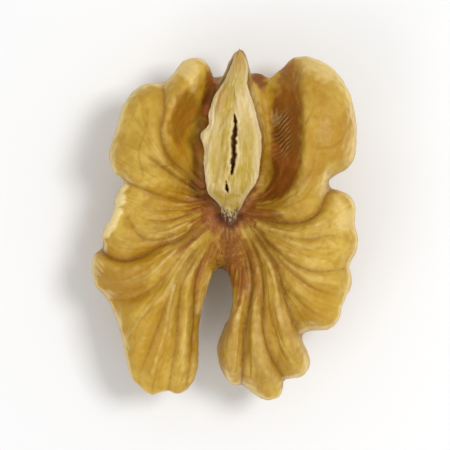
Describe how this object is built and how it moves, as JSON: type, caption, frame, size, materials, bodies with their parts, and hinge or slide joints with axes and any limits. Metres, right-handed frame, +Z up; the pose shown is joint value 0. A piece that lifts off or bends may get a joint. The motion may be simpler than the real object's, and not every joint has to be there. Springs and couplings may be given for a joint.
{
  "type": "walnut kernel half",
  "caption": "Shelled walnut half lying on its folded back, with a fan of ridged lobes round a broken pale middle and a gap between the long lobes.",
  "frame": {"origin": "on the surface that the kernel lies on, under the middle of its box", "axes": "+Z up, out of the inner face; +Y along the kernel's length, towards the pointed tip; +X across it, to the right as seen from above"},
  "size_m": [0.0264, 0.035, 0.013],
  "materials": {
    "kernel_skin": "satin"
  },
  "bodies": {
    "root": {"kernel": "kernel_skin"}
  },
  "joints": []
}
